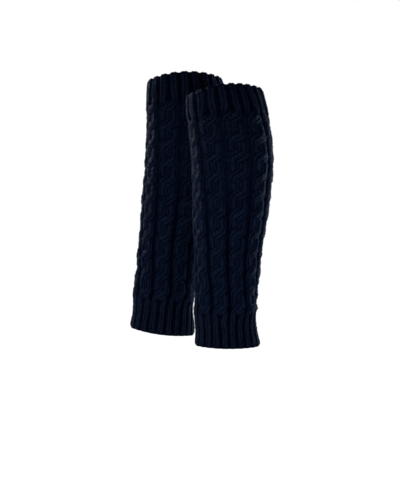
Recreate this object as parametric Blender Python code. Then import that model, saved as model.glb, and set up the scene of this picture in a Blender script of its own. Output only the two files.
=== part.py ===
"""A pair of cable-knit leg warmers, worn on a pair of legs in mid-step.

Metres, +Z up. The wearer faces -Y, so the wearer's left is +X. The origin is
midway between the middles of the two top cuffs, where the wearer holds the pair
up. Each warmer is one tube in three stretches: a 2x2 rib cuff, a tube of rope
cables between purl gutters, and a longer 2x2 rib cuff at the ankle. Both are the
same knitting: the right leg is swung forward, and its tube is stretched a little
further over the leg.
"""

import math
from collections import namedtuple

import bmesh
import bpy
from mathutils import Matrix, Vector

COLLECTION = "leg_warmers"

# The knitting, in rows down the tube and repeats round it
ROWS_TOP_RIB = 12
ROWS_CABLE = 96
ROWS_BOTTOM_RIB = 16
ROWS = ROWS_TOP_RIB + ROWS_CABLE + ROWS_BOTTOM_RIB
CABLES = 10  # one cable and one gutter each
RIBS = 2 * CABLES  # two ribs run out of each cable

# The fabric, in metres
CLOTH = 0.0038  # from a cable's crest to the inside
GUTTER_DEPTH = 0.0018  # a purl gutter, below the cables
VALLEY_DEPTH = 0.0015  # between two ribs
SEAM_GAP = 0.0003  # between a cuff and the cable tube

# Rows where the loft has a ring
TOP_RIB_RINGS = (0, 6, 12)
CABLE_RINGS = tuple(range(ROWS_TOP_RIB, ROWS_TOP_RIB + ROWS_CABLE + 1, 8))
BOTTOM_RIB_RINGS = (108, 114, 119, 124)

# The form of a warmer on a leg. drop: down the leg from the middle of the top
# cuff. back and out: how far the section's centre lies towards the calf and
# towards the outer side of the leg. half_depth is front to back, half_width is
# side to side, both to the crests of the knitting.
Section = namedtuple("Section", "drop back out half_depth half_width")
SECTIONS = (
    Section(-0.0160, -0.0006, 0.0000, 0.0575, 0.0535),
    Section(-0.0040, 0.0001, 0.0000, 0.0586, 0.0545),
    Section(0.0065, 0.0018, 0.0002, 0.0599, 0.0556),
    Section(0.0280, 0.0046, 0.0008, 0.0618, 0.0570),
    Section(0.0500, 0.0071, 0.0015, 0.0626, 0.0577),
    Section(0.0760, 0.0104, 0.0020, 0.0625, 0.0577),
    Section(0.1005, 0.0121, 0.0020, 0.0624, 0.0574),
    Section(0.1236, 0.0125, 0.0020, 0.0614, 0.0564),
    Section(0.1500, 0.0118, 0.0018, 0.0595, 0.0547),
    Section(0.1810, 0.0101, 0.0014, 0.0577, 0.0528),
    Section(0.2110, 0.0079, 0.0010, 0.0548, 0.0502),
    Section(0.2420, 0.0061, 0.0006, 0.0515, 0.0474),
    Section(0.2730, 0.0047, 0.0003, 0.0499, 0.0458),
    Section(0.3040, 0.0031, 0.0000, 0.0476, 0.0440),
    Section(0.3350, 0.0017, 0.0000, 0.0480, 0.0436),
    Section(0.3530, 0.0017, 0.0000, 0.0465, 0.0427),
    Section(0.3715, 0.0039, 0.0000, 0.0473, 0.0433),
    Section(0.3840, 0.0047, 0.0000, 0.0493, 0.0449),
    Section(0.4020, 0.0050, 0.0000, 0.0500, 0.0455),
)

# How the wales wander on each leg. swing: degrees that they stand round towards
# the calf from the leg's left side. crowd: how much closer than even they lie on
# that side. bow: degrees that those of its front and back lag behind its sides.
Wander = namedtuple("Wander", "row swing crowd bow")
WANDER = {
    "left": (
        Wander(0, -13.6, 0.02, 11.0),
        Wander(12, -12.9, -0.03, 6.5),
        Wander(19, -12.5, -0.04, 1.5),
        Wander(27, -12.0, -0.05, 0.0),
        Wander(37, -10.2, -0.05, 0.0),
        Wander(47, -8.4, 0.00, 0.5),
        Wander(57, -5.9, 0.02, 1.5),
        Wander(67, -3.4, 0.02, 3.0),
        Wander(77, -1.9, 0.04, 3.0),
        Wander(87, -0.2, 0.05, 3.0),
        Wander(97, 4.6, 0.04, 2.0),
        Wander(104, 7.6, 0.04, 1.5),
        Wander(110, 5.6, 0.09, 2.0),
        Wander(118, 2.9, 0.15, 2.0),
        Wander(124, 2.4, 0.15, 2.0),
    ),
    "right": (
        Wander(0, -10.0, 0.05, 2.0),
        Wander(12, -8.9, 0.01, 1.5),
        Wander(19, -8.3, -0.01, 0.5),
        Wander(27, -8.1, -0.02, 0.0),
        Wander(37, -7.3, 0.01, 0.0),
        Wander(47, -4.7, 0.01, 0.5),
        Wander(57, -1.0, 0.01, 0.0),
        Wander(67, 1.2, 0.00, 0.0),
        Wander(77, 2.4, -0.01, 0.5),
        Wander(87, 5.4, 0.00, 0.5),
        Wander(97, 10.3, -0.01, 0.0),
        Wander(104, 12.8, 0.01, 0.0),
        Wander(110, 8.7, 0.09, 1.5),
        Wander(118, 5.0, 0.15, 2.6),
        Wander(124, 4.5, 0.15, 2.6),
    ),
}

# Where each leg holds its warmer. side: +1 on the wearer's left. across, back
# and up place the middle of the top cuff. lean swings the shin forward, inward
# brings the ankle under the body, stretch makes the whole tube larger. The rises
# are how much higher the back of a rim is than its front, and the arches how far
# a rim bows out on the leg's left side.
Leg = namedtuple(
    "Leg",
    "name side across back up lean inward stretch length"
    " top_rise top_arch bottom_rise bottom_arch",
)
LEGS = (
    Leg("left", 1, 0.053, 0.0306, -0.0144, 0.0, 1.0, 1.0, 0.3901,
        0.0110, 0.0096, -0.0009, 0.0022),
    Leg("right", -1, -0.053, -0.0306, 0.0144, 5.9, 1.0, 1.012, 0.3978,
        0.0150, 0.0071, -0.0019, 0.0042),
)  # fmt: skip
ARCH_ON_RIGHT_SIDE = 0.35  # of the arch on the left side of the same leg

# One repeat of a section, from the middle of one hollow to the next.
# at: part of the repeat. sunk: part of the hollow's depth.
Relief = namedtuple("Relief", "at sunk")
CABLE_REPEAT = (
    Relief(0.00, 1.00),
    Relief(0.13, 0.55),
    Relief(0.27, 0.00),
    Relief(0.50, 0.06),
    Relief(0.73, 0.00),
    Relief(0.87, 0.55),
)
RIB_REPEAT = (Relief(0.0, 1.0), Relief(0.5, 0.0))

YARN_COLOUR = {
    "top_rib": (0.0052, 0.0066, 0.0135, 1.0),
    "cable_tube": (0.0045, 0.0060, 0.0125, 1.0),
    "bottom_rib": (0.0050, 0.0062, 0.0135, 1.0),
}
YARN_ROUGHNESS = 0.9


def clear_scene():
    for obj in list(bpy.data.objects):
        bpy.data.objects.remove(obj, do_unlink=True)


def along(table, value):
    """The row of a table at this value of its first column, on a smooth curve through its rows."""
    last = len(table) - 2
    i = 0
    while i < last and table[i + 1][0] < value:
        i += 1
    a, b = table[i], table[i + 1]
    before, after = table[max(i - 1, 0)], table[min(i + 2, last + 1)]
    span = b[0] - a[0]
    t = (value - a[0]) / span
    row = [value]
    for column in range(1, len(a)):
        # A cubic whose slope at each row is that of the chord past it
        start = (b[column] - before[column]) / (b[0] - before[0]) * span
        end = (after[column] - a[column]) / (after[0] - a[0]) * span
        row.append(
            a[column] * (2 * t**3 - 3 * t**2 + 1)
            + start * (t**3 - 2 * t**2 + t)
            + b[column] * (3 * t**2 - 2 * t**3)
            + end * (t**3 - t**2)
        )
    return type(a)(*row)


def wale_angle(leg, row, turn):
    """Where a wale stands at this row. turn: its place in the round, from 0 to 1."""
    wander = along(WANDER[leg.name], row)
    even = 2 * math.pi * turn
    lag = math.radians(wander.bow) * math.sin(even) ** 2
    return math.radians(wander.swing) - lag + even - wander.crowd * math.sin(even)


def rim_bow(angle):
    """1 on the leg's left side, 0 at its front and back."""
    facing = math.cos(angle)
    return facing * facing * (1.0 if facing > 0 else ARCH_ON_RIGHT_SIDE)


def drop_of(leg, row, angle):
    """How far down the leg a row runs at this angle: the rows follow both rims."""
    top = -leg.top_rise / 2 * math.sin(angle) - leg.top_arch * rim_bow(angle)
    bottom = (
        leg.length
        - leg.bottom_rise / 2 * math.sin(angle)
        + leg.bottom_arch * rim_bow(angle)
    )
    part = row / ROWS
    return top * (1 - part) + bottom * part


def point(leg, row, turn, sunk):
    """A point of the fabric in the leg's own frame, so far below the crests."""
    angle = wale_angle(leg, row, turn)
    drop = drop_of(leg, row, angle)
    form = along(SECTIONS, drop)
    return leg.stretch * Vector(
        (
            leg.side * form.out + (form.half_width - sunk) * math.cos(angle),
            form.back + (form.half_depth - sunk) * math.sin(angle),
            -drop,
        )
    )


def ring(leg, row, repeats, repeat, depth):
    """Two rings at one row: the outside with its hollows, and the inside."""
    turns = [
        ((number + relief.at) / repeats, relief.sunk * depth)
        for number in range(repeats)
        for relief in repeat
    ]
    outside = [point(leg, row, turn, sunk) for turn, sunk in turns]
    inside = [point(leg, row, turn, CLOTH) for turn, _ in turns]
    return outside, inside


def loft(name, rings):
    """A closed wall through these rings, each joined to the next and the last to the first."""
    mesh = bpy.data.meshes.new(name)
    bm = bmesh.new()
    loops = [[bm.verts.new(co) for co in points] for points in rings]
    for loop, following in zip(loops, loops[1:] + loops[:1]):
        count = len(loop)
        for i in range(count):
            j = (i + 1) % count
            bm.faces.new((loop[i], loop[j], following[j], following[i]))
    bmesh.ops.recalc_face_normals(bm, faces=bm.faces)
    bm.to_mesh(mesh)
    bm.free()
    mesh.shade_smooth()
    mesh.set_sharp_from_angle(angle=math.radians(50))
    return mesh


def yarn(name, colour):
    material = bpy.data.materials.new(name)
    material.use_nodes = True
    shader = material.node_tree.nodes["Principled BSDF"]
    shader.inputs["Base Color"].default_value = colour
    shader.inputs["Roughness"].default_value = YARN_ROUGHNESS
    shader.inputs["Metallic"].default_value = 0.0
    return material


def fabric(leg, stretch_name, rows, repeats, repeat, depth, holder, collection):
    """One stretch of the tube, as a wall from its first row to its last."""
    name = f"{leg.name}_{stretch_name}"
    rings = [ring(leg, row, repeats, repeat, depth) for row in rows]
    outside = [pair[0] for pair in rings]
    inside = [pair[1] for pair in reversed(rings)]
    obj = bpy.data.objects.new(name, loft(name, outside + inside))
    obj.data.materials.append(yarn(name, YARN_COLOUR[stretch_name]))
    collection.objects.link(obj)
    obj.parent = holder
    return obj


def seam_ends(rows, leg, before, after):
    """The rows of the rings, with each end at a seam drawn back by half the gap."""
    row_height = leg.stretch * leg.length / ROWS
    half_gap = SEAM_GAP / 2 / row_height
    rows = [float(row) for row in rows]
    if before:
        rows[0] += half_gap
    if after:
        rows[-1] -= half_gap
    return rows


def warmer(leg, collection):
    holder = bpy.data.objects.new(f"{leg.name}_leg", None)
    holder.empty_display_size = 0.05
    collection.objects.link(holder)
    holder.location = (leg.across, leg.back, leg.up)
    lean = Matrix.Rotation(math.radians(-leg.lean), 3, "X")
    inward = Matrix.Rotation(math.radians(leg.side * leg.inward), 3, "Y")
    holder.rotation_euler = (lean @ inward).to_euler()
    stretches = (
        ("top_rib", TOP_RIB_RINGS, False, True, RIBS, RIB_REPEAT, VALLEY_DEPTH),
        ("cable_tube", CABLE_RINGS, True, True, CABLES, CABLE_REPEAT, GUTTER_DEPTH),
        ("bottom_rib", BOTTOM_RIB_RINGS, True, False, RIBS, RIB_REPEAT, VALLEY_DEPTH),
    )
    for name, rows, before, after, repeats, repeat, depth in stretches:
        rows = seam_ends(rows, leg, before, after)
        fabric(leg, name, rows, repeats, repeat, depth, holder, collection)


def main():
    clear_scene()
    collection = bpy.data.collections.new(COLLECTION)
    bpy.context.scene.collection.children.link(collection)
    for leg in LEGS:
        warmer(leg, collection)
    bpy.context.view_layer.update()


main()
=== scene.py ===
"""The looks of a pair of cable-knit leg warmers: the knitting, its yarn, and the studio.

Every surface is worked out from the knitting itself. A point of the fabric has a
place w in the round, counted in wales from 0 to 80, a row r down the tube from 0
to 124, and a height h above or below the crests of the cables. Those three give a
point on the form of the warmer, which is the same form as the frame's.
"""

import math
from collections import namedtuple

import bpy
import numpy as np
from mathutils import Matrix, Vector


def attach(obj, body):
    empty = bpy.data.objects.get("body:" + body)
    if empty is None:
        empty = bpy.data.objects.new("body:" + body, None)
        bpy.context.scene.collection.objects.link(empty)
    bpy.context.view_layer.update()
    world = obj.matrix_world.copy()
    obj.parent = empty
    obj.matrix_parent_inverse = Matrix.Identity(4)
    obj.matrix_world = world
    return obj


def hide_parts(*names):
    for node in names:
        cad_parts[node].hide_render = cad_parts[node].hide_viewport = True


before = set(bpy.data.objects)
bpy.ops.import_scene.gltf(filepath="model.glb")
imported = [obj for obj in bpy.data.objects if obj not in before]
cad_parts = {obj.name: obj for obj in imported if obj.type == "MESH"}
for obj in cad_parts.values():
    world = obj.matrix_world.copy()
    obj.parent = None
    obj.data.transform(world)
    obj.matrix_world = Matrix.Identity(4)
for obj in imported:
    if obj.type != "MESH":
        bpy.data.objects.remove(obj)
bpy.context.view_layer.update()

# ---------------------------------------------------------------- the knitting

WALES = 80
ROWS = 124
ROWS_TOP_RIB = 12
FIRST_ROW_BOTTOM_RIB = 108
CABLES = 10
REPEAT = WALES // CABLES  # wales: a gutter of 2 and a cable of 6
RIB = 4  # wales: 2 knit and 2 purl
SEAM_GAP = 0.0001

# Cables: every 9 rows the strand on the right crosses over the one on its left
FIRST_CROSSING = 15.5
CROSSING_EVERY = 9
CROSSINGS = 11
STRAND = 3  # wales in a strand
CROSSING_TIME = 2.6  # rows that the strands need for changing sides, before and after
LIFT_TIME = 3.6  # rows over which the strand that crosses in front is lifted

# Heights in metres, from the crests of the frame's cables
ROPE_TOP = 0.00000
ROPE_DROP = 0.00350  # from the top of a strand to its edges
FRONT_LIFT = 0.00090
BACK_DIVE = 0.00240
FRONT_FLATTER = 0.00055  # a strand is thinner where it crosses
BACK_FLATTER = 0.00115
GUTTER = -0.00310
UNDER_ROPES = -0.00310
ROPES_END = -0.00325  # the edges of the strands stop here, inside the tube's wall
RIB_CREST = -0.00030
RIB_VALLEY = -0.00300
INSIDE = -0.00380
KNIT_BUMP = 0.00155  # how proud a knit stitch stands
PURL_BUMP = 0.00090
TUCK_DEPTH = 0.00060  # of the loops that reach under the ribs' last row

# Shapes of the ropes and stitches
FRONT_WIDER = 0.12  # how much wider a strand is where it crosses in front
BACK_NARROWER = 0.10
STRAND_FULL = 1.06  # how much wider than its wales a strand lies
STRAND_ROUND = math.radians(78)  # how far round a strand's section turns
STITCH_TURN = 0.85  # how far the stitches turn with their strand, 1 is all the way
WALE_TO_ROW = 1.35  # a wale's width as a part of a row's height, about
TUCK_ROWS = 0.35  # how far a loop reaches under the last row of the ribs
V_SLOPE = 0.85  # rows that a stitch drops from its side to its middle
PURL_ARCH = 0.30  # rows that a purl bump arches up
GUTTER_SQUEEZE = 0.38  # how much narrower the purl wales of a gutter are
RIB_SQUEEZE = 0.30  # and those of a rib

# The lie of the cloth, in metres
ROW_SAG = 0.0033  # how much lower the cable rows lie at the back of the leg
SCALLOP_TOP = 0.0008  # how far ribs stand out past the middle line of a rim
SCALLOP_BOTTOM = 0.00005
RIM_CURL = 0.0010  # how far a rim curls in

# ---------------------------------------------- the form, as in the frame's part

Leg = namedtuple(
    "Leg",
    "name side across back up lean inward stretch length"
    " top_rise top_arch bottom_rise bottom_arch",
)
LEGS = (
    Leg("left", 1, 0.053, 0.0306, -0.0144, 0.0, 1.0, 1.0, 0.3901,
        0.0110, 0.0096, -0.0009, 0.0022),
    Leg("right", -1, -0.053, -0.0306, 0.0144, 5.9, 1.0, 1.012, 0.3978,
        0.0150, 0.0071, -0.0019, 0.0042),
)  # fmt: skip
ARCH_ON_RIGHT_SIDE = 0.35

# drop, back, out, half_depth, half_width
SECTIONS = np.array((
    (-0.0160, -0.0006, 0.0000, 0.0575, 0.0535),
    (-0.0040, 0.0001, 0.0000, 0.0586, 0.0545),
    (0.0065, 0.0018, 0.0002, 0.0599, 0.0556),
    (0.0280, 0.0046, 0.0008, 0.0618, 0.0570),
    (0.0500, 0.0071, 0.0015, 0.0626, 0.0577),
    (0.0760, 0.0104, 0.0020, 0.0625, 0.0577),
    (0.1005, 0.0121, 0.0020, 0.0624, 0.0574),
    (0.1236, 0.0125, 0.0020, 0.0614, 0.0564),
    (0.1500, 0.0118, 0.0018, 0.0595, 0.0547),
    (0.1810, 0.0101, 0.0014, 0.0577, 0.0528),
    (0.2110, 0.0079, 0.0010, 0.0548, 0.0502),
    (0.2420, 0.0061, 0.0006, 0.0515, 0.0474),
    (0.2730, 0.0047, 0.0003, 0.0499, 0.0458),
    (0.3040, 0.0031, 0.0000, 0.0476, 0.0440),
    (0.3350, 0.0017, 0.0000, 0.0480, 0.0436),
    (0.3530, 0.0017, 0.0000, 0.0465, 0.0427),
    (0.3715, 0.0039, 0.0000, 0.0473, 0.0433),
    (0.3840, 0.0047, 0.0000, 0.0493, 0.0449),
    (0.4020, 0.0050, 0.0000, 0.0500, 0.0455),
))  # fmt: skip

# row, swing in degrees, crowd, bow in degrees
WANDER = {
    "left": np.array((
        (0, -13.6, 0.02, 11.0),
        (12, -12.9, -0.03, 6.5),
        (19, -12.5, -0.04, 1.5),
        (27, -12.0, -0.05, 0.0),
        (37, -10.2, -0.05, 0.0),
        (47, -8.4, 0.00, 0.5),
        (57, -5.9, 0.02, 1.5),
        (67, -3.4, 0.02, 3.0),
        (77, -1.9, 0.04, 3.0),
        (87, -0.2, 0.05, 3.0),
        (97, 4.6, 0.04, 2.0),
        (104, 7.6, 0.04, 1.5),
        (110, 5.6, 0.09, 2.0),
        (118, 2.9, 0.15, 2.0),
        (124, 2.4, 0.15, 2.0),
    )),
    "right": np.array((
        (0, -10.0, 0.05, 2.0),
        (12, -8.9, 0.01, 1.5),
        (19, -8.3, -0.01, 0.5),
        (27, -8.1, -0.02, 0.0),
        (37, -7.3, 0.01, 0.0),
        (47, -4.7, 0.01, 0.5),
        (57, -1.0, 0.01, 0.0),
        (67, 1.2, 0.00, 0.0),
        (77, 2.4, -0.01, 0.5),
        (87, 5.4, 0.00, 0.5),
        (97, 10.3, -0.01, 0.0),
        (104, 12.8, 0.01, 0.0),
        (110, 8.7, 0.09, 1.5),
        (118, 5.0, 0.15, 2.6),
        (124, 4.5, 0.15, 2.6),
    )),
}  # fmt: skip


def along(table, value):
    """The rows of a table at these values of its first column, on a smooth curve through its rows."""
    last = len(table) - 2
    i = np.minimum(np.searchsorted(table[1:, 0], value, side="left"), last)
    a, b = table[i], table[i + 1]
    before, after = table[np.maximum(i - 1, 0)], table[np.minimum(i + 2, last + 1)]
    span = b[:, :1] - a[:, :1]
    t = (value[:, None] - a[:, :1]) / span
    start = (b - before) / (b[:, :1] - before[:, :1]) * span
    end = (after - a) / (after[:, :1] - a[:, :1]) * span
    return (
        a * (2 * t**3 - 3 * t**2 + 1)
        + start * (t**3 - 2 * t**2 + t)
        + b * (3 * t**2 - 2 * t**3)
        + end * (t**3 - t**2)
    )


def drop_of(leg, r, angle):
    """How far down the leg a row runs at this angle."""
    facing = np.cos(angle)
    bow = facing**2 * np.where(facing > 0, 1.0, ARCH_ON_RIGHT_SIDE)
    top = -leg.top_rise / 2 * np.sin(angle) - leg.top_arch * bow
    bottom = leg.length - leg.bottom_rise / 2 * np.sin(angle) + leg.bottom_arch * bow
    return top * (1 - r / ROWS) + bottom * r / ROWS


def surface(leg, w, r, h):
    """The points of the fabric at these wales, rows and heights."""
    w, r, h = np.broadcast_arrays(w, r, h)
    shape = w.shape
    w, r, h = (np.asarray(x, float).ravel() for x in (w, r, h))
    wander = along(WANDER[leg.name], r)
    even = 2 * math.pi * w / WALES
    lag = np.radians(wander[:, 3]) * np.sin(even) ** 2
    angle = np.radians(wander[:, 1]) - lag + even - wander[:, 2] * np.sin(even)
    drop = drop_of(leg, r, angle)
    drop = drop + ROW_SAG * smooth(rows_to_seam(r) / 14) * np.sin(angle)
    form = along(SECTIONS, drop)
    points = leg.stretch * np.stack(
        (
            leg.side * form[:, 2] + (form[:, 4] + h) * np.cos(angle),
            form[:, 1] + (form[:, 3] + h) * np.sin(angle),
            -drop,
        ),
        1,
    )
    lean = Matrix.Rotation(math.radians(-leg.lean), 3, "X")
    inward = Matrix.Rotation(math.radians(leg.side * leg.inward), 3, "Y")
    turn = np.array(lean @ inward)
    points = points @ turn.T + (leg.across, leg.back, leg.up)
    return points.reshape(*shape, 3)


def row_height(leg):
    return leg.stretch * leg.length / ROWS


def rows_to_seam(r):
    """From a row of the cables to the nearer seam with the ribs, and 0 in the ribs."""
    return np.minimum(r - ROWS_TOP_RIB, FIRST_ROW_BOTTOM_RIB - r)


# ------------------------------------------------------------------- unevenness


def smooth(x):
    x = np.clip(x, 0, 1)
    return x * x * (3 - 2 * x)


class Uneven:
    """What hand and yarn make uneven: slow waves over the whole tube, and a
    small difference from stitch to stitch. The same each time for a seed."""

    def __init__(self, seed):
        rng = np.random.default_rng(seed)
        self.stitch = rng.normal(0, 1, (2 * WALES, ROWS + 2))
        self.waves = {}
        for name in ("height", "row", "wale"):
            count = 26
            round_ = rng.integers(1, 12, count)
            down = rng.uniform(0.5, 9.0, count)
            phase = rng.uniform(0, 2 * math.pi, count)
            size = rng.uniform(0.5, 1, count) / np.hypot(round_, down) ** 0.5
            size /= np.sqrt((size**2).sum() / 2)
            self.waves[name] = list(zip(round_, down, phase, size))

    def wave(self, name, w, r):
        """About -2 to 2, without a seam in the round."""
        total = np.zeros(np.broadcast(w, r).shape)
        for round_, down, phase, size in self.waves[name]:
            total += size * np.cos(
                2 * math.pi * (round_ * w / WALES + down * r / ROWS) + phase
            )
        return total

    def each(self, half_wale, row):
        """A number for each half stitch, about -2 to 2."""
        i = np.floor(half_wale).astype(int) % (2 * WALES)
        j = np.clip(np.floor(row).astype(int), 0, ROWS + 1)
        return self.stitch[i, j]


# Soft folds, in rows down and wales round: where the cloth has slid or gives.
# half_rows and half_wales are their reach, depth in metres, slant in rows a wale.
Fold = namedtuple("Fold", "row wale half_rows half_wales depth slant")
FOLDS = {
    "left": (
        Fold(13.5, 14.0, 2.0, 9.0, 0.0007, 0.05),
        Fold(13.0, 62.0, 2.4, 12.0, 0.0009, -0.06),
        Fold(95.0, 17.5, 2.2, 6.0, 0.0011, 0.30),
        Fold(102.5, 20.5, 2.0, 7.5, 0.0013, 0.22),
        Fold(108.5, 15.5, 1.8, 8.0, 0.0008, -0.12),
        Fold(99.0, 58.0, 2.6, 9.0, 0.0010, -0.20),
        Fold(106.0, 66.0, 2.2, 7.0, 0.0009, 0.10),
        Fold(88.0, 41.0, 3.0, 8.0, 0.0008, 0.25),
    ),
    "right": (
        Fold(13.0, 4.0, 2.2, 9.0, 0.0007, -0.05),
        Fold(14.0, 47.0, 2.6, 11.0, 0.0009, 0.06),
        Fold(101.0, 14.0, 2.2, 8.0, 0.0011, 0.25),
        Fold(106.5, 24.0, 2.0, 7.0, 0.0009, -0.15),
        Fold(96.0, 60.0, 2.6, 9.0, 0.0010, 0.18),
        Fold(103.5, 51.0, 2.0, 7.0, 0.0011, -0.22),
        Fold(84.0, 35.0, 3.2, 8.0, 0.0008, -0.20),
    ),
}


def folded(leg, w, r):
    """How much lower the cloth lies in its folds, in metres."""
    total = np.zeros(np.broadcast(w, r).shape)
    for fold in FOLDS[leg.name]:
        across = (w - fold.wale + WALES / 2) % WALES - WALES / 2
        down = r - fold.row - fold.slant * across
        trough = np.exp(-((down / fold.half_rows) ** 2)) - 0.55 * np.exp(
            -(((down + 2.1 * fold.half_rows) / (1.5 * fold.half_rows)) ** 2)
        )
        total += fold.depth * trough * np.exp(-((across / fold.half_wales) ** 2))
    # The cuffs' rims stay as they are
    ends = smooth(r / 8) * smooth((ROWS - r) / 8)
    return total * ends


def narrowed(w, r):
    """Purl wales draw together, so the gutters and valleys are narrow."""
    in_cables = smooth((r - ROWS_TOP_RIB + 4) / 4) * smooth(
        (FIRST_ROW_BOTTOM_RIB + 4 - r) / 4
    )
    in_ribs = smooth((ROWS_TOP_RIB - r) / 3) + smooth((r - FIRST_ROW_BOTTOM_RIB) / 3)
    turn = 2 * math.pi / REPEAT
    return (
        w
        - GUTTER_SQUEEZE * in_cables * np.sin(turn * w) / turn
        - RIB_SQUEEZE * in_ribs * np.sin(2 * turn * w) / (2 * turn)
    )


def cloth(leg, uneven, w, r, h):
    """surface(), with the unevenness and the folds of the cloth."""
    calm = smooth(r / 4 + 0.2) * smooth((ROWS - r) / 4 + 0.2)
    h = h + 0.00016 * uneven.wave("height", w, r) * calm - folded(leg, w, r)
    moved_r = r + 0.16 * uneven.wave("row", w, r) * calm * near_seam(r)
    moved_w = narrowed(w, r) + 0.07 * uneven.wave("wale", w, r) * calm
    return surface(leg, moved_w, moved_r, h)


def near_seam(r):
    """0 at the seams, so that both sides of a seam keep to it, and 1 elsewhere."""
    gap = np.minimum(np.abs(r - ROWS_TOP_RIB), np.abs(r - FIRST_ROW_BOTTOM_RIB))
    return smooth(gap / 2.5)


# ----------------------------------------------------------------- mesh building


class Shell:
    """A mesh put together from strips of rings, with its two maps."""

    def __init__(self):
        self.points, self.count = [], 0
        self.lift, self.open = [], []
        self.quads, self.quad_uv, self.quad_bake = [], [], []
        self.tris, self.tri_uv, self.tri_bake = [], [], []

    def add(self, points, lift, openness):
        """Adds a grid of points and returns their numbers in the same shape. lift: how
        high a point stands on its stitch. openness: painted shade in the colour, from 0 deep
        in a crease between ropes or in a gutter, where the colour is painted darkest,
        to 1 out in the clear, where no shade is painted."""
        shape = points.shape[:-1]
        number = np.arange(np.prod(shape)).reshape(shape) + self.count
        self.points.append(points.reshape(-1, 3))
        self.lift.append(np.broadcast_to(lift, shape).reshape(-1))
        self.open.append(np.broadcast_to(openness, shape).reshape(-1))
        self.count += number.size
        return number

    def strip(self, number, u, v, rect, closed):
        """Quads between the rings of a grid. u and v: the stitch map at each point.
        rect: where the strip lies in the bake map. closed: it runs all round."""
        if closed:
            number = np.concatenate((number, number[:, :1]), 1)
            u = np.concatenate((u, u[:, :1] + 2 * WALES), 1)
            v = np.concatenate((v, v[:, :1]), 1)
        rings, columns = number.shape
        s = np.linspace(0, 1, rings)[:, None] * np.ones((1, columns))
        if columns > 1:
            level = u.mean(0)
            t = (level - level[0]) / (level[-1] - level[0])
        t = t[None, :] * np.ones((rings, 1))
        left, low, right, high = rect
        bake = np.stack((left + t * (right - left), high + s * (low - high)), -1)
        uv = np.stack((u, v), -1)

        def corners(x):
            return np.stack((x[:-1, :-1], x[1:, :-1], x[1:, 1:], x[:-1, 1:]), 2)

        self.quads.append(corners(number).reshape(-1, 4))
        self.quad_uv.append(corners(uv).reshape(-1, 4, 2))
        self.quad_bake.append(corners(bake).reshape(-1, 4, 2))

    def bridge(self, a, a_u, b, b_u, v, rect):
        """Triangles between two closed rings with different numbers of points."""
        a_u, b_u = list(a_u), list(b_u)
        left, low, right, high = rect
        tris, uvs, bakes = [], [], []
        i = j = 0

        def at(ring, us, k, upper):
            turn = k // len(ring)
            u = us[k % len(ring)] + turn * 2 * WALES
            t = (u - a_u[0]) / (2 * WALES)
            return (
                ring[k % len(ring)],
                (u, v),
                (left + t * (right - left), high if upper else low),
            )

        while i < len(a) or j < len(b):
            next_a = at(a, a_u, i + 1, True)[1][0] if i < len(a) else math.inf
            next_b = at(b, b_u, j + 1, False)[1][0] if j < len(b) else math.inf
            if next_a <= next_b:
                corner = (
                    at(a, a_u, i, True),
                    at(b, b_u, j, False),
                    at(a, a_u, i + 1, True),
                )
                i += 1
            else:
                corner = (
                    at(a, a_u, i, True),
                    at(b, b_u, j, False),
                    at(b, b_u, j + 1, False),
                )
                j += 1
            tris.append([c[0] for c in corner])
            uvs.append([c[1] for c in corner])
            bakes.append([c[2] for c in corner])
        self.tris.append(np.array(tris))
        self.tri_uv.append(np.array(uvs))
        self.tri_bake.append(np.array(bakes))

    def cap(self, ring, back, u, v, rect, flip):
        """Closes the end of a strand, from one edge of its section to the other, and to
        the point in the middle of its back."""
        left, low, right, high = rect
        n = len(ring)
        corner = [(ring[0], u[0], low), (ring[-1], u[-1], high)]
        corner.append((back, (u[0] + u[-1]) / 2, (low + high) / 2))
        if flip:
            corner.reverse()
        self.tris.append(np.array([[number for number, _, _ in corner]]))
        self.tri_uv.append(np.array([[(u_there, v) for _, u_there, _ in corner]]))
        bake = [(left - 0.001 * (number == back), y) for number, _, y in corner]
        self.tri_bake.append(np.array([bake]))
        for k in range(n // 2):
            corner = [k, k + 1, n - 2 - k, n - 1 - k]
            if corner[1] == corner[2]:
                corner.pop(1)
            if flip:
                corner.reverse()
            where = [
                (
                    left + (right - left) * min(c, n - 1 - c) / (n // 2),
                    low if c < n // 2 else high,
                )
                for c in corner
            ]
            held = (self.quads, self.quad_uv, self.quad_bake)
            if len(corner) == 3:
                held = (self.tris, self.tri_uv, self.tri_bake)
            held[0].append(ring[corner][None])
            held[1].append(np.array([[(u[c], v) for c in corner]]))
            held[2].append(np.array([where]))

    def make(self, name, material):
        points = np.concatenate(self.points)
        quads = np.concatenate(self.quads)
        faces, uv, bake = quads.tolist(), [], []
        uv.append(np.concatenate(self.quad_uv).reshape(-1, 2))
        bake.append(np.concatenate(self.quad_bake).reshape(-1, 2))
        if self.tris:
            faces += np.concatenate(self.tris).tolist()
            uv.append(np.concatenate(self.tri_uv).reshape(-1, 2))
            bake.append(np.concatenate(self.tri_bake).reshape(-1, 2))
        mesh = bpy.data.meshes.new(name)
        mesh.from_pydata(points.tolist(), [], faces)
        stitch = mesh.uv_layers.new(name="stitch")
        stitch.uv.foreach_set("vector", np.concatenate(uv).astype(np.float32).ravel())
        layout = mesh.uv_layers.new(name="OFBake")
        layout.uv.foreach_set("vector", np.concatenate(bake).astype(np.float32).ravel())
        mesh.uv_layers.active = mesh.uv_layers["stitch"]
        mesh.uv_layers["stitch"].active_render = True
        # The second attribute is painted shade: the yarn's colour is darkened by it in creases and
        # gutters
        for layer, values in (("lift", self.lift), ("open", self.open)):
            made = mesh.attributes.new(layer, "FLOAT", "POINT")
            made.data.foreach_set("value", np.concatenate(values).astype(np.float32))
        mesh.shade_smooth()
        mesh.materials.append(material)
        mesh.update()
        obj = bpy.data.objects.new(name, mesh)
        bpy.context.scene.collection.objects.link(obj)
        return obj


def openness_at(h):
    """Painted shade by height: 0 at the bottom of a gutter, where the colour is painted darkest, up
    to 1 higher on the cloth.
    """
    return smooth((h - GUTTER - 0.0003) / 0.0024)


# -------------------------------------------------------------------- stitches

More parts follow.
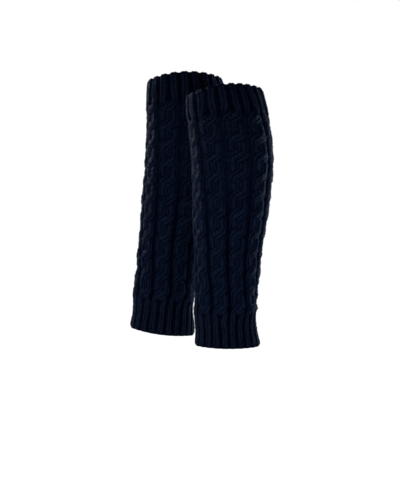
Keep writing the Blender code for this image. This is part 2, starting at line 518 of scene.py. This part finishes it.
# Quarters of a wale, from its left side: how far down a knit stitch has run,
# and how high it stands there
KNIT_RUN = np.array((0.0, 0.5, 1.0, 0.5))
KNIT_HIGH = np.array((0.0, 0.95, 0.60, 0.95))
PURL_RUN = np.array((0.0, 0.75, 1.0, 0.75))
PURL_HIGH = np.array((0.45, 0.95, 1.0, 0.95))
# Quarters of a row, from a crease between stitches: how high a stitch stands
ROW_HIGH = np.array((0.30, 0.88, 1.0, 0.82))
ROW_PLACE = np.array((0.0, 0.22, 0.50, 0.78))


def rows_between(first, last, quarters=4):
    """Quarter rows from first to last, as (row, quarter), for the rows of a grid."""
    whole = np.arange(math.floor(first) - 1, math.ceil(last) + 1)
    places = ROW_PLACE if quarters == 4 else np.array((0.0, 0.3, 0.7))
    highs = ROW_HIGH if quarters == 4 else np.array((0.0, 1.0, 0.95))
    at = (whole[:, None] + places).ravel()
    high = np.tile(highs, len(whole))
    keep = (at > first + 0.12) & (at < last - 0.12)
    at = np.concatenate(([first], at[keep], [last]))
    high = np.concatenate(([0.15], high[keep], [0.15]))
    return at, high


def with_tucks(at, high):
    """The rows with one more at each end: loops that reach under the ribs' last row.
    The third list is 1 for those and 0 for the others."""
    at = np.concatenate(([at[0] - TUCK_ROWS], at, [at[-1] + TUCK_ROWS]))
    high = np.concatenate(([0.1], high, [0.1]))
    tucked = np.zeros(len(at))
    tucked[[0, -1]] = 1.0
    return at, high, tucked


def seam_run(w0):
    """How far down the seams between ribs and cables lie at these quarter wales:
    they follow the slants of the cable rows."""
    quarter = np.round(w0 * 4).astype(int) % 4
    # A wale's last quarter ends on its neighbour's side
    in_gutter = ((w0 + 1) % REPEAT) < 2
    return np.where(
        in_gutter,
        -PURL_ARCH * PURL_RUN[quarter],
        V_SLOPE * KNIT_RUN[quarter],
    )


def knit_columns(wales):
    """For each quarter wale of so many knit wales, and the last side: the run and the height."""
    quarter = np.arange(4 * wales + 1) % 4
    return KNIT_RUN[quarter], KNIT_HIGH[quarter]


# -------------------------------------------------------------- cables and tube


def crossing(r):
    """For each row: the number of the nearest crossing, and rows past its middle."""
    n = np.clip(np.round((r - FIRST_CROSSING) / CROSSING_EVERY), 0, CROSSINGS - 1)
    return n, r - FIRST_CROSSING - n * CROSSING_EVERY


def strand_path(which, r):
    """Strand 0 starts on the right of its cable, strand 1 on the left. Returns the
    place of its middle in wales from the cable's, how many wales it goes across in a
    row, and how far it is in front (1 to -1) of its neighbour."""
    n, past = crossing(r)
    starts_right = (n + which) % 2 == 0
    phase = math.pi / 2 * np.clip(past / CROSSING_TIME, -1, 1)
    across = np.where(starts_right, -1, 1) * STRAND / 2
    lift = np.cos(np.clip(past / LIFT_TIME, -1, 1) * math.pi / 2) ** 2
    return (
        across * np.sin(phase),
        across * math.pi / 2 / CROSSING_TIME * np.cos(phase),
        np.where(starts_right, lift, -lift),
    )


def rib_profile(w):
    """0 in the middle of a purl valley, 1 along a knit rib."""
    wave = 0.5 - 0.5 * np.cos(2 * math.pi * w / RIB)
    return smooth((wave - 0.20) / 0.50)


def rib_height(w):
    return RIB_VALLEY + (RIB_CREST - RIB_VALLEY) * rib_profile(w)


def to_seam(r):
    """0 at the seams with the ribs, 1 from three rows on."""
    return smooth((r - ROWS_TOP_RIB) / 2.6) * smooth((FIRST_ROW_BOTTOM_RIB - r) / 2.6)


def rope_strands(leg, which, uneven, material):
    """Strand 0 or 1 of all ten cables."""
    half_gap = SEAM_GAP / 2 / row_height(leg)
    first, last = ROWS_TOP_RIB + half_gap, FIRST_ROW_BOTTOM_RIB - half_gap
    at, high, tucked = with_tucks(*rows_between(first, last))
    run, tall = knit_columns(STRAND)
    columns = len(run)
    alpha = np.linspace(-1, 1, columns) * STRAND_ROUND
    shell = Shell()
    for cable in range(CABLES):
        middle = cable * REPEAT + REPEAT / 2
        r = at[:, None] + V_SLOPE * run[None, :]
        side, going, front = strand_path(which, r)
        fore, aft = np.maximum(front, 0), np.maximum(-front, 0)
        calm = to_seam(r)
        half = STRAND / 2 * (1 + FRONT_WIDER * fore - BACK_NARROWER * aft)
        half = half * (1 + (STRAND_FULL - 1) * calm)
        flat, round_ = alpha / STRAND_ROUND, np.sin(alpha) / math.sin(STRAND_ROUND)
        across = half * (flat + (round_ - flat) * calm)
        # The strand's stitches turn with it, so it is a rope and not a sheared band
        turn = STITCH_TURN * np.arctan(going * WALE_TO_ROW)
        w = middle + side + across * np.cos(turn)
        r = r - across * WALE_TO_ROW * np.sin(turn)
        top = ROPE_TOP + FRONT_LIFT * fore - BACK_DIVE * aft
        drop = ROPE_DROP - FRONT_FLATTER * fore - BACK_FLATTER * aft
        h = top - drop * (1 - np.cos(alpha)) / (1 - math.cos(STRAND_ROUND))
        h = rib_height(w) + (h - rib_height(w)) * calm
        # The stitches of the strand: wales keep their number in the round
        start = (middle + (0 if which == 0 else -STRAND)) * 2
        half_wale = start + np.arange(columns) / 2
        u = np.broadcast_to(half_wale, r.shape)
        v = np.broadcast_to(at[:, None], r.shape)
        odd = uneven.each(np.minimum(u, start + 2 * STRAND - 0.01), v)
        bump = high[:, None] * tall[None, :]
        h = h + KNIT_BUMP * bump * (1 + 0.22 * odd) * (1 - 0.35 * aft)
        h = np.maximum(h - TUCK_DEPTH * tucked[:, None], ROPES_END)
        points = cloth(leg, uneven, w, r + 0.05 * odd * bump, h)
        # Painted shade: the colour goes dark along a strand's edges and where it goes under its
        # neighbour, where shade falls
        edge = (1.03 + 0.10 * fore - np.abs(flat)) * (2.4 + 1.6 * fore)
        openness = smooth(edge) * (1 - 0.85 * aft)
        openness = openness_at(h) + (openness - openness_at(h)) * calm
        number = shell.add(points, bump, openness)
        left = (cable + 0.5 * 0.03) / CABLES
        wide = 0.97 / CABLES
        shell.strip(number, u, v, (left, 0.02, left + 0.86 * wide, 1), False)
        # The back of the strand lies in the wall of the tube and follows its round
        between = [(x[:, :1] + x[:, -1:]) / 2 for x in (w, r, h)]
        middle_number = shell.add(cloth(leg, uneven, *between), 0.0, 0.0)
        back = np.concatenate((number[:, -1:], middle_number, number[:, :1]), 1)
        ends = [0, columns // 2, -1]
        shell.strip(
            back,
            u[:, ends],
            v[:, ends],
            (left + 0.89 * wide, 0.02, left + wide, 1),
            False,
        )
        shell.cap(
            number[0],
            middle_number[0, 0],
            u[0],
            at[0],
            (left, 0.0, left + 0.4 * wide, 0.015),
            flip=False,
        )
        shell.cap(
            number[-1],
            middle_number[-1, 0],
            u[-1],
            at[-1],
            (left + 0.5 * wide, 0.0, left + 0.9 * wide, 0.015),
            flip=True,
        )
    return shell.make(f"{leg.name}_rope_strands_{'ab'[which]}", material)


def cable_ground(leg, uneven, material):
    """The tube under the cables: purl gutters outside, and the inside of the cloth."""
    half_gap = SEAM_GAP / 2 / row_height(leg)
    first, last = ROWS_TOP_RIB + half_gap, FIRST_ROW_BOTTOM_RIB - half_gap
    at, high, tucked = with_tucks(*rows_between(first, last, quarters=3))
    # One repeat, in wales from the middle of its gutter: quarters in the gutter
    fine = np.arange(-1.5, 1.51, 0.25)
    place = np.concatenate((fine, (2.5, 4.0, 5.5)))
    quarter = (np.round(place * 4).astype(int)) % 4
    purl = np.abs(place) < 1.6
    run = np.where(purl, PURL_RUN[quarter], 0.0)
    tall = np.where(purl, PURL_HIGH[quarter], 0.0)
    deep = np.where(purl, GUTTER, UNDER_ROPES)
    w0 = (np.arange(CABLES)[:, None] * REPEAT + place).ravel()
    run, tall, deep = (np.tile(x, CABLES) for x in (run, tall, deep))
    r = at[:, None] - PURL_ARCH * run[None, :]
    w = np.broadcast_to(w0, r.shape)
    # The gutter bends with the strands that cross beside it
    _, past = crossing(r)
    pull = np.cos(np.clip(past / LIFT_TIME, -1, 1) * math.pi / 2) ** 2
    from_gutter = (w + REPEAT / 2) % REPEAT - REPEAT / 2
    w = w + 0.22 * pull * np.sign(from_gutter) * smooth(np.abs(from_gutter) / 1.5) * (
        np.abs(from_gutter) < 2
    )
    h = deep[None, :] + 0.00045 * smooth((np.abs(from_gutter) - 0.7) / 0.6) * (
        np.abs(from_gutter) < 1.6
    )
    seam = to_seam(r)
    h = h + (np.minimum(rib_height(w), RIB_VALLEY) - 0.0001 - h) * (1 - seam)
    u = np.broadcast_to(2 * w0, r.shape)
    v = np.broadcast_to(at[:, None], r.shape)
    odd = uneven.each(u % (2 * WALES), v)
    bump = high[:, None] * tall[None, :]
    h = h + PURL_BUMP * bump * (1 + 0.16 * odd) - TUCK_DEPTH / 2 * tucked[:, None]
    shell = Shell()
    # Painted shade in the gutters: eased off in the upper rows and full further down the leg, where
    # the cables stand closer together and less light gets in
    painted_shade_eased_above = 0.0008 - 0.0008 * smooth((r - 40) / 40)
    openness = openness_at(h + painted_shade_eased_above * seam)
    outer = shell.add(cloth(leg, uneven, w, r, h), bump, openness)
    shell.strip(outer, u, v, (0, 0.525, 1, 1), True)

    # Inside: half wales round, and half rows where it shows through the cuffs
    rows = np.concatenate(
        (
            [first],
            np.arange(12.5, 40, 0.5),
            np.arange(40, 88, 1.0),
            np.arange(88, 107.6, 0.5),
            [last],
        )
    )
    w_in = np.arange(-1.5, WALES - 1.6, 0.5)
    even_row = np.abs(rows - np.round(rows)) < 0.1
    w_grid = np.broadcast_to(w_in, (len(rows), len(w_in)))
    r_grid = np.broadcast_to(rows[:, None], w_grid.shape)
    dip = np.where(even_row[:, None], 0.00045, 0.00005)
    dip = dip + 0.00012 * (np.abs(w_in - np.round(w_in)) < 0.1)
    h_in = INSIDE - 0.0003 + dip
    # Painted shade: the inside gets a fixed step of it, 0.6, in its colour
    inner = shell.add(
        cloth(leg, uneven, w_grid, r_grid, h_in), 1 - np.clip(dip / 0.00057, 0, 1), 0.6
    )
    flip = slice(None, None, -1)
    u_in = 2 * w_grid
    shell.strip(inner[flip], u_in[flip], r_grid[flip], (0, 0.015, 1, 0.49), True)
    shell.bridge(outer[-1], u[-1], inner[-1], u_in[-1], last, (0, 0.5, 1, 0.507))
    shell.bridge(inner[0], u_in[0], outer[0], u[0], first, (0, 0.0, 1, 0.007))
    return shell.make(f"{leg.name}_cable_ground", material)


# ------------------------------------------------------------------------- ribs


def rib_knit(leg, stretch_name, first, last, rim_first, scallop, uneven, material):
    """A rib cuff: knit ribs and purl valleys outside, the same inside, and a rounded rim."""
    half_gap = SEAM_GAP / 2 / row_height(leg)
    height = row_height(leg)
    quarters = np.arange(4 * WALES)
    w0 = quarters / 4.0
    number_in_wale = quarters % 4
    # Wales 1, 2 and 5, 6 of each repeat are knit, 3, 4 and 7, 0 are purl
    wale = np.floor(w0).astype(int) % RIB
    is_knit = (wale == 1) | (wale == 2)
    run = np.where(
        is_knit,
        V_SLOPE * KNIT_RUN[number_in_wale],
        -PURL_ARCH * PURL_RUN[number_in_wale],
    )
    run_at_seam = seam_run(w0)
    tall = np.where(is_knit, KNIT_HIGH[number_in_wale], PURL_HIGH[number_in_wale])
    size = np.where(is_knit, KNIT_BUMP, PURL_BUMP)
    profile = rib_profile(w0)
    # The rim: the rows next to it follow its scallops
    lip = 0.00135  # radius of the rolled edge
    if rim_first:
        seam = last - half_gap
        rim = first
        inward = 1.0
    else:
        seam = first + half_gap
        rim = last
        inward = -1.0
    edge = rim + inward * lip / height
    at, high = rows_between(min(edge, seam), max(edge, seam))
    from_edge = smooth(np.abs(at - edge) / 2.2)[:, None]
    from_seam = smooth(np.abs(at - seam) / 2.2)[:, None]
    r = at[:, None] + from_edge * (
        run[None, :] * from_seam + run_at_seam[None, :] * (1 - from_seam)
    )
    wave = scallop / height * (2 * profile - 1)[None, :]
    pulled = 1 - smooth(np.abs(r - rim) / 4.5)
    r = r - inward * wave * pulled
    w = np.broadcast_to(w0, r.shape)
    base = rib_height(w0)[None, :] * np.ones_like(r)
    # At the rim the cast-on edge evens the ribs out, and curls in a little
    base = base + (0.0011 * (1 - profile))[None, :] * (1 - smooth(np.abs(r - rim) / 2))
    base = base - RIM_CURL * (1 - smooth(np.abs(r - rim) / 1.8))
    u = np.broadcast_to(2 * w0, r.shape)
    v = np.broadcast_to(at[:, None], r.shape)
    odd = uneven.each(u, v)
    bump = high[:, None] * tall[None, :]
    h = base + size[None, :] * bump * (1 + 0.22 * odd)
    shell = Shell()
    # Painted shade in the purl valleys between the ribs, by height
    outer = shell.add(cloth(leg, uneven, w, r, h), bump, openness_at(h))
    near_rim = 0 if rim_first else len(at) - 1
    flip = slice(None, None, -1)
    shell.strip(outer, u, v, (0, 0.44, 1, 1), True)

    # The rolled edge, from outside over the rim to the inside. A chain of
    # cast-on loops runs along it, one to a wale.
    inside_h = INSIDE + 0.0011 * profile
    outer_h = h[near_rim]
    mid = (outer_h + inside_h) / 2
    reach = (outer_h - inside_h) / 2
    chain = np.array((0.0, 0.8, 1.0, 0.8))[number_in_wale]
    lips_r, lips_h, lips_lift = [], [], []
    for step in range(1, 6):
        beta = math.pi * step / 6
        lips_r.append(
            r[near_rim]
            - inward * (lip / height * math.sin(beta))
            - inward * 0.00030 / height * chain * math.sin(beta)
        )
        lips_h.append(mid + reach * math.cos(beta) * (1 + 0.10 * chain))
        lips_lift.append(0.2 + 0.6 * chain)
    lips_r, lips_h = np.array(lips_r), np.array(lips_h)
    w_rim = np.broadcast_to(w[near_rim], lips_r.shape)
    # Painted shade: the rolled rim gets a small fixed step of it, 0.75, in its colour
    lips = shell.add(
        cloth(leg, uneven, w_rim, lips_r, lips_h), np.array(lips_lift), 0.75
    )

    # Inside: what is knit outside is purl here
    rows_in = np.arange(min(edge, seam), max(edge, seam), 0.5)
    rows_in = np.concatenate((rows_in[:-1], [max(edge, seam)]))
    every = slice(0, None, 2)
    w_in0 = w0[every]
    odd_row = (np.arange(len(rows_in)) % 2)[:, None]
    r_in = np.broadcast_to(rows_in[:, None], (len(rows_in), len(w_in0)))
    pulled_in = 1 - smooth(np.abs(r_in - rim) / 4.5)
    r_moved = r_in - inward * wave[:, every] * pulled_in
    w_in = np.broadcast_to(w_in0, r_in.shape)
    side = (number_in_wale[every] == 0)[None, :]
    dip = 0.0004 * odd_row + 0.0001 * side
    h_in = INSIDE + 0.0011 * profile[every][None, :] * (
        0.35 + 0.65 * smooth(np.abs(r_in - seam) / 2.5)
    )
    # Painted shade: the inside gets a fixed step of it, 0.6, in its colour
    inner = shell.add(
        cloth(leg, uneven, w_in, r_moved, h_in + dip), 1 - dip / 0.0005, 0.6
    )
    u_in = np.broadcast_to(2 * w_in0, r_in.shape)
    # All in one round: outside, rim, inside, seam
    if rim_first:
        rings = np.concatenate((lips[flip], outer[:1]))
        ring_u = np.broadcast_to(2 * w0, rings.shape)
        shell.strip(rings, ring_u, ring_v(rings, edge), (0, 0.34, 1, 0.42), True)
        shell.strip(inner[flip], u_in[flip], r_in[flip], (0, 0.03, 1, 0.31), True)
        shell.bridge(inner[0], u_in[0], lips[-1], 2 * w0, edge, (0, 0.32, 1, 0.33))
        shell.bridge(outer[-1], u[-1], inner[-1], u_in[-1], seam, (0, 0.0, 1, 0.01))
    else:
        rings = np.concatenate((outer[-1:], lips))
        ring_u = np.broadcast_to(2 * w0, rings.shape)
        shell.strip(rings, ring_u, ring_v(rings, edge), (0, 0.34, 1, 0.42), True)
        shell.strip(inner[flip], u_in[flip], r_in[flip], (0, 0.03, 1, 0.31), True)
        shell.bridge(lips[-1], 2 * w0, inner[-1], u_in[-1], edge, (0, 0.32, 1, 0.33))
        shell.bridge(inner[0], u_in[0], outer[0], u[0], seam, (0, 0.0, 1, 0.01))
    return shell.make(f"{leg.name}_{stretch_name}_knit", material)


def ring_v(rings, edge):
    """The stitch map runs on a row over the rim."""
    return edge + np.linspace(0, 1, len(rings))[:, None] * np.ones(
        (1, rings.shape[1])
    )


# ------------------------------------------------------------------------- yarn


def yarn_material(name, deep, light, fuzz_colour_and_painted_sheen, sheen, seed):
    """Napped yarn, with painted shade and painted sheen in its colour. deep is the
    colour painted into the creases as shade, light that on top of a stitch, and
    dusty that of the stray fibres on the tops, partly their own and partly painted sheen."""
    material = bpy.data.materials.new(name)
    material.use_nodes = True
    tree = material.node_tree
    nodes, links = tree.nodes, tree.links
    shader = nodes["Principled BSDF"]

    def node(kind, **settings):
        made = nodes.new(kind)
        for key, value in settings.items():
            setattr(made, key, value)
        return made

    def math_node(operation, a, b=None):
        made = node("ShaderNodeMath", operation=operation)
        for slot_number, value in enumerate((a, b)):
            if value is None:
                continue
            if isinstance(value, (int, float)):
                made.inputs[slot_number].default_value = value
            else:
                links.new(value, made.inputs[slot_number])
        return made.outputs[0]

    def mix(factor, a, b):
        made = node("ShaderNodeMix", data_type="RGBA")
        if isinstance(factor, (int, float)):
            made.inputs[0].default_value = factor
        else:
            links.new(factor, made.inputs[0])
        for socket, value in ((made.inputs[6], a), (made.inputs[7], b)):
            if isinstance(value, tuple):
                socket.default_value = (*value, 1.0)
            else:
                links.new(value, socket)
        return made.outputs[2]

    def spread(value, low, high, to_low=0.0, to_high=1.0):
        made = node("ShaderNodeMapRange")
        links.new(value, made.inputs["Value"])
        for key, number in (
            ("From Min", low),
            ("From Max", high),
            ("To Min", to_low),
            ("To Max", to_high),
        ):
            made.inputs[key].default_value = number
        return made.outputs[0]

    place = node("ShaderNodeUVMap", uv_map="stitch")
    split = node("ShaderNodeSeparateXYZ")
    links.new(place.outputs[0], split.inputs[0])
    half_wale, row = split.outputs[0], split.outputs[1]

    def at(u_scale, v_scale, w_offset=0.0):
        joined = node("ShaderNodeCombineXYZ")
        links.new(math_node("MULTIPLY", half_wale, u_scale), joined.inputs[0])
        links.new(math_node("MULTIPLY", row, v_scale), joined.inputs[1])
        joined.inputs[2].default_value = w_offset
        return joined.outputs[0]

    def noise(vector, scale, detail, rough=0.5):
        made = node("ShaderNodeTexNoise", noise_dimensions="3D")
        links.new(vector, made.inputs["Vector"])
        made.inputs["Scale"].default_value = scale
        made.inputs["Detail"].default_value = detail
        made.inputs["Roughness"].default_value = rough
        return made.outputs["Fac"]

    # Three plies twist round each other, slanting over the stitch
    warp = noise(at(1.0, 1.0, seed), 1.3, 2.0)
    slant = math_node(
        "ADD",
        math_node("MULTIPLY", half_wale, 2.6),
        math_node("MULTIPLY", row, 1.25),
    )
    slant = math_node("ADD", slant, math_node("MULTIPLY", warp, 1.1))
    ply = math_node("SINE", math_node("MULTIPLY", slant, 2 * math.pi))
    ply = spread(ply, -1.0, 1.0)
    # Fibres lie along the plies, and loose ones stand across them
    fibre = noise(at(7.0, 26.0, seed + 3.0), 1.0, 3.0, 0.65)
    fuzz = noise(at(19.0, 31.0, seed + 7.0), 1.0, 2.0, 0.7)
    # Slow change over the cloth, and from stitch to stitch
    slow = noise(at(0.10, 0.14, seed + 11.0), 1.0, 3.0)
    cell = node("ShaderNodeTexWhiteNoise", noise_dimensions="2D")
    floor = node("ShaderNodeVectorMath", operation="FLOOR")
    links.new(at(1.0, 1.0), floor.inputs[0])
    links.new(floor.outputs[0], cell.inputs["Vector"])
    each = cell.outputs["Value"]

    lift = node("ShaderNodeAttribute", attribute_name="lift")
    openness = node("ShaderNodeAttribute", attribute_name="open")
    # Painted shade: the colour goes dark in the creases between stitches and along the grooves
    # between the plies, and deep dark between the ropes and in the gutters, where shade falls; to
    # this comes the yarn's own tone, which differs at random from stitch to stitch and slowly over
    # the cloth
    crease = math_node("POWER", lift.outputs["Fac"], 1.4)
    high = math_node("MULTIPLY", crease, openness.outputs["Fac"])
    tone_and_painted_shade = math_node("MULTIPLY", high, 1.60)
    tone_and_painted_shade = math_node("ADD", tone_and_painted_shade, math_node("MULTIPLY", each, 0.50))
    tone_and_painted_shade = math_node("ADD", tone_and_painted_shade, math_node("MULTIPLY", slow, 0.22))
    tone_and_painted_shade = math_node("ADD", tone_and_painted_shade, math_node("MULTIPLY", ply, 0.12))
    tone_and_painted_shade = spread(tone_and_painted_shade, 0.60, 1.92)
    colour = mix(tone_and_painted_shade, deep, light)
    # Stray fibres on the tops of the stitches take a greyer, lighter colour: partly the nap's own
    # colour, partly painted sheen where light skims them
    fuzz_and_painted_sheen = spread(fuzz, 0.57, 0.74, 0.0, 0.55)
    fuzz_and_painted_sheen = math_node("MULTIPLY", fuzz_and_painted_sheen, high)
    colour = mix(fuzz_and_painted_sheen, colour, fuzz_colour_and_painted_sheen)
    links.new(colour, shader.inputs["Base Color"])

    rough = spread(fibre, 0.2, 0.8, 0.25, 0.50)
    links.new(rough, shader.inputs["Roughness"])

    relief = math_node("ADD", ply, math_node("MULTIPLY", fibre, 0.9))
    relief = math_node("ADD", relief, math_node("MULTIPLY", fuzz, 0.5))
    bump = node("ShaderNodeBump")
    bump.inputs["Strength"].default_value = 0.85
    bump.inputs["Distance"].default_value = 0.00022
    links.new(relief, bump.inputs["Height"])
    links.new(bump.outputs[0], shader.inputs["Normal"])

    # The fibres hardly shine, except where light skims over them
    shader.inputs["Metallic"].default_value = 0.0
    shader.inputs["Specular IOR Level"].default_value = 0.0009
    shader.inputs["Sheen Weight"].default_value = sheen
    shader.inputs["Sheen Roughness"].default_value = 0.38
    shader.inputs["Sheen Tint"].default_value = (0.62, 0.74, 1.0, 1.0)
    return material


# ------------------------------------------------------------------------ studio


def plain_material(name, colour, roughness):
    """A painted studio floor, with a faint mottle."""
    material = bpy.data.materials.new(name)
    material.use_nodes = True
    tree = material.node_tree
    shader = tree.nodes["Principled BSDF"]
    noise = tree.nodes.new("ShaderNodeTexNoise")
    noise.inputs["Scale"].default_value = 3.0
    ramp = tree.nodes.new("ShaderNodeMapRange")
    ramp.inputs["To Min"].default_value = roughness - 0.04
    ramp.inputs["To Max"].default_value = roughness + 0.04
    tree.links.new(noise.outputs["Fac"], ramp.inputs["Value"])
    tree.links.new(ramp.outputs[0], shader.inputs["Roughness"])
    shader.inputs["Base Color"].default_value = (*colour, 1.0)
    shader.inputs["Specular IOR Level"].default_value = 0.0
    # Lit from below too, as a white sweep is, so that it is as pale as the room
    shader.inputs["Emission Color"].default_value = (1.0, 1.0, 1.0, 1.0)
    shader.inputs["Emission Strength"].default_value = 0.14
    return material


def area_light(name, at, towards, size, power, colour):
    data = bpy.data.lights.new(name, "AREA")
    data.shape = "RECTANGLE"
    data.size, data.size_y = size
    data.energy = power
    data.color = colour
    light = bpy.data.objects.new(name, data)
    bpy.context.scene.collection.objects.link(light)
    light.location = at
    direction = np.array(towards, float) - np.array(at, float)
    light.rotation_mode = "QUATERNION"
    light.rotation_quaternion = Vector(direction).to_track_quat("-Z", "Y")
    return light


def studio():
    scene = bpy.context.scene
    scene.view_settings.view_transform = "Standard"
    scene.view_settings.look = "None"
    scene.view_settings.exposure = 0.0
    scene.view_settings.gamma = 1.0

    world = bpy.data.worlds.new("studio")
    scene.world = world
    world.use_nodes = True
    background = world.node_tree.nodes["Background"]
    background.inputs["Color"].default_value = (1.0, 1.0, 1.0, 1.0)
    background.inputs["Strength"].default_value = 1.0

    bpy.ops.mesh.primitive_circle_add(
        vertices=96, radius=9.0, fill_type="NGON", location=(0, 0, -0.62)
    )
    floor = bpy.context.active_object
    floor.name = "studio_floor"
    floor.data.materials.append(plain_material("studio_floor", (0.93, 0.93, 0.93), 0.9))

    # Two lamps behind the pair skim over its sides, and a weak one with a grid in
    # front of it lights the lower part more than the cuffs
    middle = (0.0, 0.0, -0.19)
    white, cool, warm = (1.0, 1.0, 1.0), (0.72, 0.86, 1.0), (1.0, 0.93, 0.86)
    area_light("left_lamp", (-1.25, -1.42, 0.45), middle, (0.15, 0.15), 144.0, white)
    area_light("right_lamp", (-1.15, 1.55, 0.0), middle, (0.15, 0.3), 184.0, cool)
    shins = (0.05, -0.01, -0.28)
    front = area_light("front_lamp", (1.6, -0.45, -0.5), shins, (0.2, 0.2), 1.31, warm)
    front.data.spread = math.radians(34)

    camera_data = bpy.data.cameras.new("camera")
    camera_data.sensor_width = 36.0
    camera_data.lens = 36.0 / 500 * 3.0 / 0.00154
    camera_data.clip_start, camera_data.clip_end = 0.05, 60.0
    camera = bpy.data.objects.new("camera", camera_data)
    scene.collection.objects.link(camera)
    camera.location = (3.05, -0.00676, -0.2569)
    camera.rotation_euler = (math.radians(90), 0.0, math.radians(90))
    scene.camera = camera


# --------------------------------------------------------------------------- all


def main():
    # The crease colour is painted shade, and the fibre colour on the tops is partly painted sheen
    cable_yarn = yarn_material(
        "cable_yarn",
        deep=(0.00005, 0.0004, 0.0018),
        light=(0.0025, 0.0048, 0.0121),
        fuzz_colour_and_painted_sheen=(0.0042, 0.0064, 0.0130),
        sheen=0.0008,
        seed=1.0,
    )
    # Painted light: the ribs' yarn is a lighter, greyer copy of the cable yarn, so the cuffs come out
    # brighter
    rib_yarn_painted_lighter = yarn_material(
        "rib_yarn_painted_lighter",
        deep=(0.00005, 0.0004, 0.0018),
        light=(0.0033, 0.0054, 0.0124),
        fuzz_colour_and_painted_sheen=(0.0052, 0.0070, 0.0134),
        sheen=0.0008,
        seed=5.0,
    )
    for number, leg in enumerate(LEGS):
        uneven = Uneven(100 + number)
        ground = cable_ground(leg, uneven, cable_yarn)
        strands = [rope_strands(leg, which, uneven, cable_yarn) for which in (0, 1)]
        top = rib_knit(
            leg, "top_rib", 0, ROWS_TOP_RIB, True, SCALLOP_TOP, uneven, rib_yarn_painted_lighter
        )
        bottom = rib_knit(
            leg,
            "bottom_rib",
            FIRST_ROW_BOTTOM_RIB,
            ROWS,
            False,
            SCALLOP_BOTTOM,
            uneven,
            rib_yarn_painted_lighter,
        )
        for piece in (ground, *strands, top, bottom):
            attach(piece, "root")
        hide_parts(f"{leg.name}_cable_tube")
        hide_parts(f"{leg.name}_top_rib")
        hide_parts(f"{leg.name}_bottom_rib")
    studio()


main()
